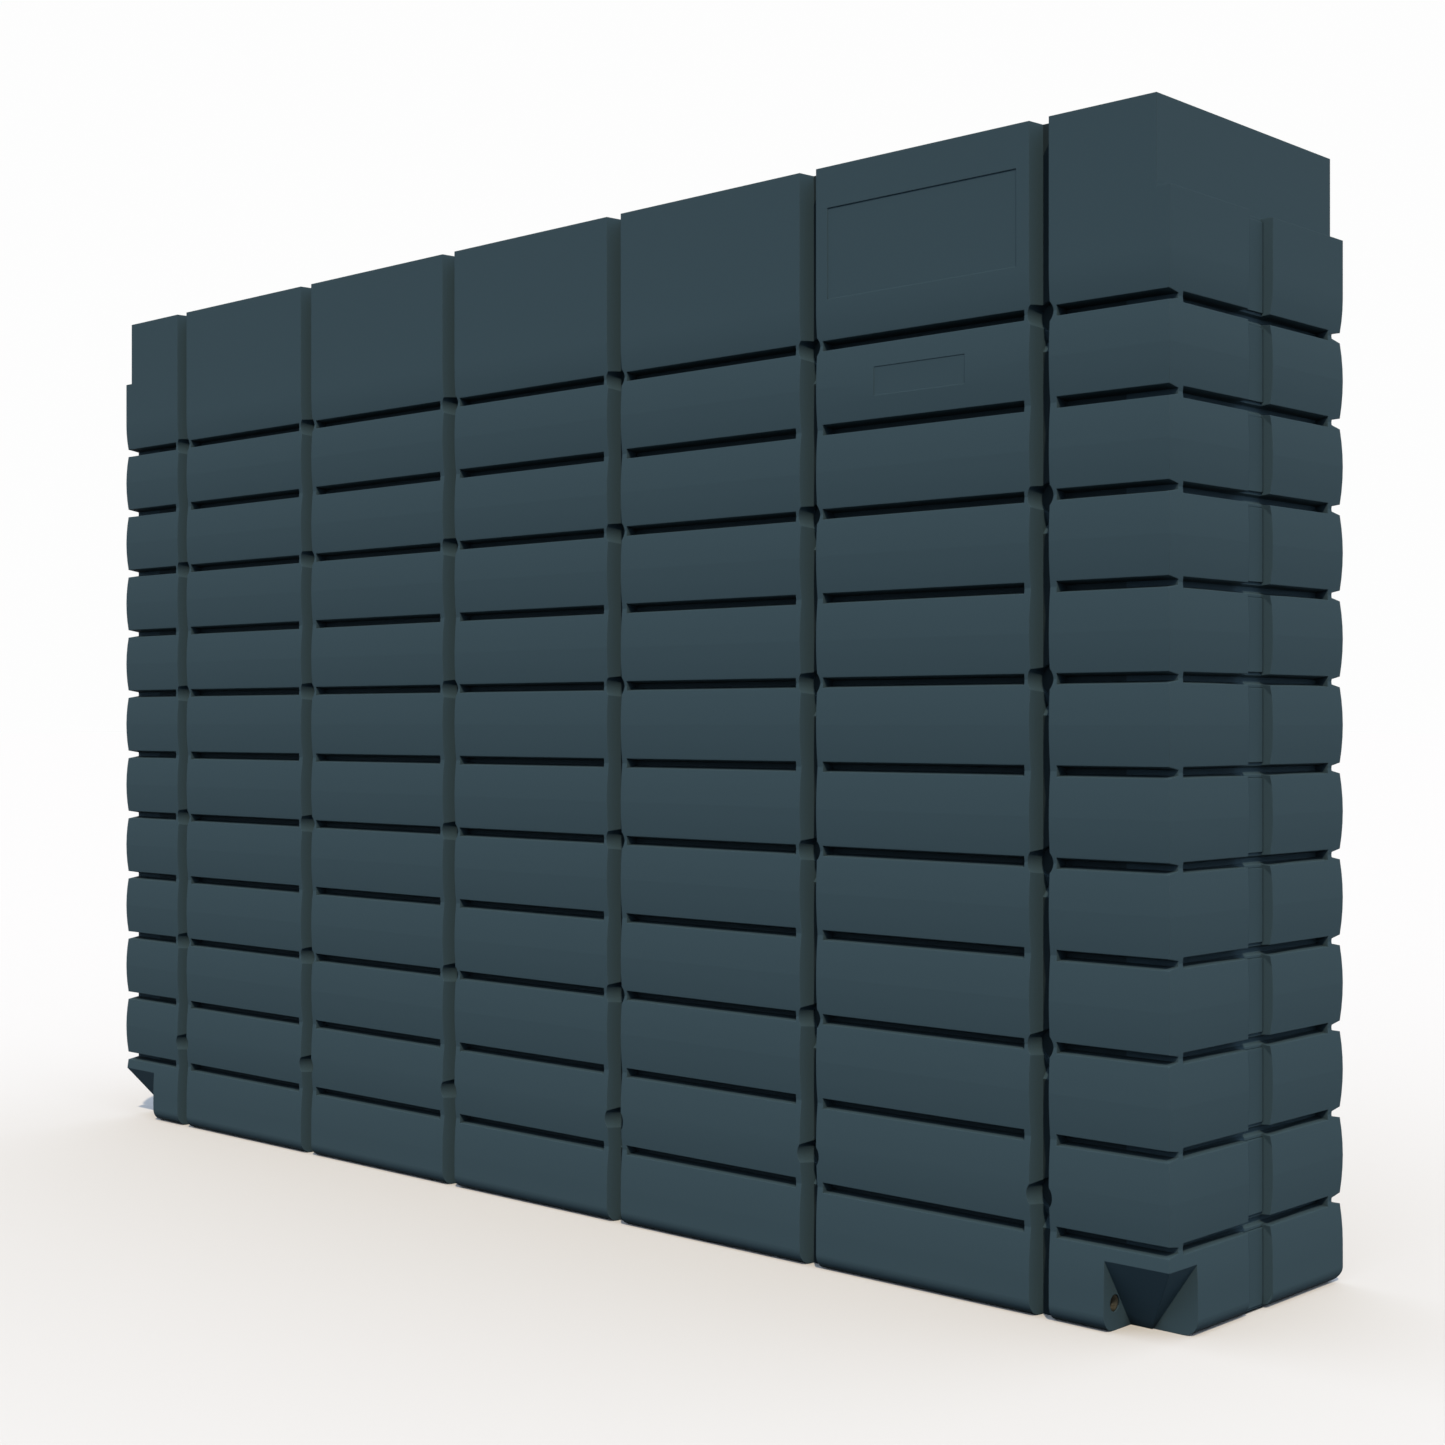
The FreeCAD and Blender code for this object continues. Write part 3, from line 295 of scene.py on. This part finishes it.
def tank_shell(material):
    """The moulding with its last few millimetres true to the real one: the levels of the slits, the
    depth of the end channels and the two panels, which are sunk flat and not drawn as a line."""
    mesh = NODES["tank_body"].data.copy()
    for vertex in mesh.vertices:
        x, y, z = (distance / MM for distance in vertex.co)
        side, across = math.copysign(1, x), math.copysign(1, y)
        if in_panel(x, y, z, PANEL_EDGE):
            y = max(y, FRONT + PANEL_DEPTH)
        elif not in_panel(x, y, z, PANEL_OUTLINE):
            z += lift(z)
        if abs(abs(x) - END_FLOOR) < NEAR and abs(y) < END_FLOOR_HALF + NEAR:
            x = side * REAL_END_FLOOR
            if abs(abs(y) - END_FLOOR_HALF) < NEAR:
                y = across * REAL_END_FLOOR_HALF
        elif abs(x) > END_FLOOR + NEAR and abs(abs(y) - END_MOUTH_HALF) < NEAR:
            y = across * REAL_END_MOUTH_HALF
        vertex.co = (x * MM, y * MM, z * MM)
    shell = new_object("tank_shell", mesh)
    set_material(shell, material)
    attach(shell, "root")
    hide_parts("tank_body")


def wrapped(rings, closed=False):
    """A surface through rings of points that all have the same number, capped or closed on itself."""
    sides = len(rings[0])
    points = [point for ring in rings for point in ring]
    faces = []
    for row in range(len(rings) if closed else len(rings) - 1):
        low, high = row * sides, (row + 1) % len(rings) * sides
        for side in range(sides):
            after = (side + 1) % sides
            faces.append((low + side, low + after, high + after, high + side))
    if not closed:
        faces.append(tuple(reversed(range(sides))))
        faces.append(tuple(range(len(points) - sides, len(points))))
    return points, faces


def piece_from(name, surfaces, material, replaced):
    """One piece from several surfaces. It takes the place of a CAD node."""
    points, faces = [], []
    for surface_points, surface_faces in surfaces:
        shift = len(points)
        points += surface_points
        faces += [tuple(corner + shift for corner in face) for face in surface_faces]
    mesh = bpy.data.meshes.new(name)
    mesh.from_pydata([[distance * MM for distance in point] for point in points], [], faces)
    outward = bmesh.new()
    outward.from_mesh(mesh)
    bmesh.ops.recalc_face_normals(outward, faces=outward.faces)
    outward.to_mesh(mesh)
    outward.free()
    piece = new_object(name, mesh)
    set_material(piece, material)
    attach(piece, "root")
    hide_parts(replaced)


def thread(turn, depth, pitch):
    """How far a thread's flank stands off its root, 0 to 1, at a part of a turn and a depth."""
    share = (depth / pitch + turn) % 1
    return 1 - abs(2 * share - 1)


# A pan head screw with a cross recess, in mm. The head is domed: its top is an arc that would reach
# the level of the seat at HEAD_CURVE times the head's radius. RECESS_ARM is half an arm's width.
HEAD_RADIUS, HEAD_HEIGHT, HEAD_CURVE = 4.6, 2.8, 1.15
RECESS_ARM, RECESS_REACH, RECESS_DEPTH = 0.62, 2.6, 1.5
RECESS_RINGS = (0.2, 0.6, 1.1, 1.6, 2.1, RECESS_REACH)
HEAD_RINGS = (RECESS_REACH + 0.1, 3.2, 3.8, 4.3, HEAD_RADIUS)
SHANK_RADIUS, SHANK_THREAD, SHANK_PITCH = 2.1, 0.45, 1.25
SCREW_SIDES, SHANK_RINGS_PER_PITCH = 32, 5
# Where the screws are: how many, the radius of their circle, where the undersides of their heads lie
# and how far their tips reach in from there, in mm.
STRAINER_SCREWS, STRAINER_CIRCLE, STRAINER_SEAT, STRAINER_REACH = 8, 183, 1867.2, 16.2
OVERFLOW_SCREWS, OVERFLOW_CIRCLE, OVERFLOW_SEAT, OVERFLOW_REACH = 6, 55, -1482.6, 17
OVERFLOW_HEIGHT = 1892


def screw(seat, out, length):
    """A pan head screw with a cut thread. Its seat is under its head, and out is its axis."""
    out = Vector(out)
    along = out.orthogonal().normalized()
    across = out.cross(along)

    def ring(radius, height, shape=None):
        points = []
        for side in range(SCREW_SIDES):
            turn = side / SCREW_SIDES
            u = radius * math.cos(FULL_TURN * turn)
            v = radius * math.sin(FULL_TURN * turn)
            level = height
            if shape == "recess" and min(abs(u), abs(v)) < RECESS_ARM:
                level -= RECESS_DEPTH
            if shape == "thread":
                scale = 1 - SHANK_THREAD / radius * (1 - thread(turn, height, SHANK_PITCH))
                u, v = u * scale, v * scale
            points.append(Vector(seat) + along * u + across * v + out * level)
        return points

    def dome(radius):
        return HEAD_HEIGHT * math.sqrt(1 - (radius / (HEAD_CURVE * HEAD_RADIUS)) ** 2)

    steps = int(length / SHANK_PITCH * SHANK_RINGS_PER_PITCH)
    rings = [ring(radius, dome(radius), "recess") for radius in RECESS_RINGS]
    rings += [ring(radius, dome(radius)) for radius in HEAD_RINGS]
    rings += [ring(HEAD_RADIUS, 0), ring(SHANK_RADIUS, 0)]
    rings += [ring(SHANK_RADIUS, -length * step / steps, "thread") for step in range(1, steps)]
    # The tip.
    rings.append(ring(SHANK_RADIUS / 3, -length))
    return wrapped(rings)


def screws(steel):
    """The screws of the strainer, and those round the overflow."""
    strainer = []
    for number in range(STRAINER_SCREWS):
        turn = FULL_TURN * number / STRAINER_SCREWS
        seat = (STRAINER_CIRCLE * math.cos(turn), STRAINER_CIRCLE * math.sin(turn), STRAINER_SEAT)
        strainer.append(screw(seat, (0, 0, 1), STRAINER_REACH))
    piece_from("strainer_screw_set", strainer, steel, "strainer_screws")
    overflow = []
    for number in range(OVERFLOW_SCREWS):
        turn = FULL_TURN * number / OVERFLOW_SCREWS
        height = OVERFLOW_HEIGHT + OVERFLOW_CIRCLE * math.cos(turn)
        seat = (OVERFLOW_SEAT, OVERFLOW_CIRCLE * math.sin(turn), height)
        overflow.append(screw(seat, (-1, 0, 0), OVERFLOW_REACH))
    piece_from("overflow_screw_set", overflow, steel, "overflow_screws")


# A three quarter inch pipe thread, and the brass body round it, in mm.
THREAD_MINOR, THREAD_DEPTH, THREAD_PITCH = 12.06, 1.16, 1.814
INSERT_LENGTH, COLLAR_LENGTH, COLLAR_HALF_FLATS, NECK_RADIUS = 24.0, 8.0, 17.0, 15.2
OUTLET_FACE, OUTLET_Y, OUTLET_Z = 1375.0, -250.0, 43.0
# With this many sides each of the collar's six corners falls on a point of its ring.
OUTLET_SIDES, BORE_RINGS_PER_PITCH = 72, 6


def outlet(side, brass):
    """A brass outlet with its thread cut, its hexagon collar at the mouth."""
    sign = 1 if side == "right" else -1

    def ring(depth, radius_at):
        points = []
        for step in range(OUTLET_SIDES):
            angle = FULL_TURN * step / OUTLET_SIDES
            radius = radius_at(angle)
            y = OUTLET_Y + radius * math.cos(angle)
            z = OUTLET_Z + radius * math.sin(angle)
            points.append((sign * (OUTLET_FACE - depth), y, z))
        return points

    def hexagon(angle):
        return COLLAR_HALF_FLATS / math.cos(angle % (math.pi / 3) - math.pi / 6)

    def major(angle):
        return THREAD_MINOR + THREAD_DEPTH

    def neck(angle):
        return NECK_RADIUS

    def bore_at(depth):
        return lambda angle: THREAD_MINOR + THREAD_DEPTH * thread(angle / FULL_TURN, depth, THREAD_PITCH)

    steps = int(INSERT_LENGTH / THREAD_PITCH * BORE_RINGS_PER_PITCH)
    depths = [INSERT_LENGTH * step / steps for step in range(1, steps)]
    mouth = [ring(0, hexagon), ring(0, major)]
    bore = [ring(depth, bore_at(depth)) for depth in depths]
    back = [ring(INSERT_LENGTH, major), ring(INSERT_LENGTH, neck)]
    collar = [ring(COLLAR_LENGTH, neck), ring(COLLAR_LENGTH, hexagon)]
    surface = wrapped(mouth + bore + back + collar, closed=True)
    piece_from(f"outlet_{side}_threaded", [surface], brass, f"outlet_insert_{side}")


def seen_directly(tree):
    """1 for what the camera sees itself or in gloss or through glass, and 0 for light on its way."""
    path = add(tree, "ShaderNodeLightPath")
    camera_or_gloss = {0: path.outputs["Is Camera Ray"], 1: path.outputs["Is Glossy Ray"]}
    either = add(tree, "ShaderNodeMath", camera_or_gloss, operation="MAXIMUM")
    or_through_glass = {0: either.outputs["Value"], 1: path.outputs["Is Transmission Ray"]}
    return add(tree, "ShaderNodeMath", or_through_glass, operation="MAXIMUM").outputs["Value"]


def floor_paper():
    """Pale matte paper. It throws little light back up, so that undersides stay as dark as in daylight."""
    material, tree = new_material("matte_paper")
    shade = add(tree, "ShaderNodeMix", {"Factor": seen_directly(tree)}, data_type="RGBA")
    shade.inputs["A"].default_value = linear("2A2C2E")
    # In this light it renders as bright as the backdrop, so no horizon shows.
    shade.inputs["B"].default_value = linear("C7C5C3")
    shader = add(tree, "ShaderNodeBsdfDiffuse", {"Color": shade.outputs["Result"]})
    finish_material(tree, shader.outputs["BSDF"])
    return material


# The floor in metres, and the number of its sides.
FLOOR_RADIUS, FLOOR_SIDES = 400.0, 96


def studio():
    """A round pale floor, wide enough to end at the horizon."""
    turns = [FULL_TURN * side / FLOOR_SIDES for side in range(FLOOR_SIDES)]
    rim = [(FLOOR_RADIUS * math.cos(turn), FLOOR_RADIUS * math.sin(turn), 0) for turn in turns]
    mesh = bpy.data.meshes.new("floor")
    mesh.from_pydata(rim, [], [range(FLOOR_SIDES)])
    floor = new_object("floor", mesh)
    set_material(floor, floor_paper())


# From the right of the front by 45 degrees, and 46 degrees high.
SUN_HEADING = (-1, 1, -1.464)


def sun():
    """The one clear light, from the front, the right and above, soft at the edges of its shadows."""
    data = bpy.data.lights.new("key", "SUN")
    data.angle = math.radians(2)
    data.energy = 3.5
    data.color = linear("FFEDD0")[:3]
    lamp = new_object("key", data)
    lamp.rotation_mode = "QUATERNION"
    lamp.rotation_quaternion = Vector(SUN_HEADING).to_track_quat("-Z", "Y")
    lamp.location = (4, -4, 5)


# The light of the sky, a little blue, and the white that stands behind the tank in the picture.
SKY_LIGHT = (0.93, 1.08, 1.30, 1)
BACKDROP = (0.985, 0.985, 0.985, 1)


def sky():
    """Even, cool light from above, and a near white backdrop for the camera."""
    world = bpy.data.worlds.new("studio")
    world.use_nodes = True
    tree = world.node_tree
    tree.nodes.clear()
    shade = add(tree, "ShaderNodeMix", {"Factor": seen_directly(tree)}, data_type="RGBA")
    shade.inputs["A"].default_value = SKY_LIGHT
    shade.inputs["B"].default_value = BACKDROP
    light = add(tree, "ShaderNodeBackground", {"Color": shade.outputs["Result"]}, Strength=1.0)
    add(tree, "ShaderNodeOutputWorld", {"Surface": light.outputs["Background"]})
    bpy.context.scene.world = world


# The photo's camera, in metres and with its lens in mm. It stands level.
CAMERA_PLACE = (3.336, -3.258, 0.9785)
CAMERA_HEADING = (-0.6845, 0.729, 0)
CAMERA_LENS = 54.68


def camera():
    """The photo's view: level, at the height of the tank's middle, from the front and the right end."""
    data = bpy.data.cameras.new("camera")
    data.lens = CAMERA_LENS
    data.sensor_width = 36
    data.clip_end = 200
    data.dof.use_dof = False
    eye = new_object("camera", data)
    eye.location = CAMERA_PLACE
    eye.rotation_mode = "QUATERNION"
    eye.rotation_quaternion = Vector(CAMERA_HEADING).to_track_quat("-Z", "Y")
    bpy.context.scene.camera = eye


def main():
    """Dresses the nodes, adds the pieces of the scene and sets the stage."""
    bpy.context.scene.view_settings.view_transform = "Standard"
    finishes = dress_nodes()
    tank_shell(finishes["tank_plastic"])
    screws(finishes["screw_steel"])
    outlet("left", finishes["outlet_brass"])
    outlet("right", finishes["outlet_brass"])
    studio()
    sky()
    sun()
    camera()


main()
